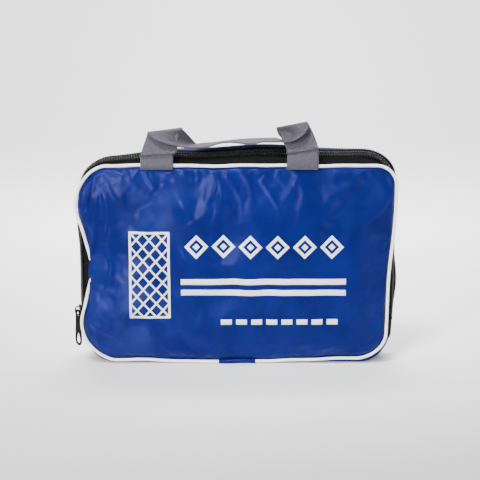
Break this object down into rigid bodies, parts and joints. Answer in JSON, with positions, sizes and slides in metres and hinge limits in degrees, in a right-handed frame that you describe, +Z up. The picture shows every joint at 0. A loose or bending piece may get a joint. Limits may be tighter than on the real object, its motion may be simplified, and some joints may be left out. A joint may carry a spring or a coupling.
{
  "type": "portable badminton net in zipped carry case",
  "caption": "Folded badminton net kept in a soft zipped case with piped edges and a webbing handle, standing on its base.",
  "frame": {"origin": "centre of the case's flat base, on the surface it stands on", "axes": "+X to the viewer's right along the case's width, -Y out of the front panel, +Z up"},
  "size_m": [0.3034, 0.0565, 0.224],
  "materials": {
    "coated_nylon": "glossy coated nylon",
    "white_piping": "satin white",
    "black_tape": "matt woven",
    "zip_coil": "semi-gloss",
    "zip_metal": "gloss black",
    "grey_webbing": "woven",
    "net_twine": "matt braided twine",
    "white_tape": "matt woven"
  },
  "bodies": {
    "case": {"bottom_gusset": "coated_nylon", "side_gusset": "coated_nylon", "front_panel_foot": "coated_nylon", "back_panel": "coated_nylon", "piping_joint_sleeve": "coated_nylon", "front_piping_foot_left": "white_piping", "front_piping_foot_right": "white_piping", "rear_piping": "white_piping", "front_tape_tails": "black_tape", "rear_zipper_tape": "black_tape", "rear_seam_binding": "black_tape", "rear_zipper_coil": "zip_coil", "left_end_stop": "zip_metal", "right_end_stop": "zip_metal", "netting": "net_twine", "head_tape": "white_tape", "bottom_tape": "white_tape", "left_side_tape": "white_tape", "right_side_tape": "white_tape"},
    "flap": {"front_panel": "coated_nylon", "front_piping": "white_piping", "front_zipper_tape": "black_tape", "front_seam_binding": "black_tape", "front_zipper_coil": "zip_coil", "handle_end_left": "grey_webbing", "handle_end_right": "grey_webbing"},
    "handle": {"handle_strap": "grey_webbing"},
    "slider": {"zipper_slider": "zip_metal"},
    "pull": {"zipper_pull": "zip_metal"}
  },
  "joints": [
    {"name": "flap_fold", "type": "hinge", "parent": "case", "child": "flap", "pos_m": [0, -0.0299, 0.056], "axis": [1, 0, 0], "range_deg": [0, 100]},
    {"name": "handle_swing", "type": "hinge", "parent": "flap", "child": "handle", "pos_m": [0, -0.025, 0.2], "axis": [1, 0, 0], "range_deg": [0, 130]},
    {"name": "zip_slide", "type": "slide", "parent": "case", "child": "slider", "axis": [0, 0, 1], "range_m": [0, 0.105]},
    {"name": "pull_swing", "type": "hinge", "parent": "slider", "child": "pull", "pos_m": [-0.15124, -0.01381, 0.05], "axis": [-0.6982, 0.7159, 0], "range_deg": [0, 170]}
  ]
}
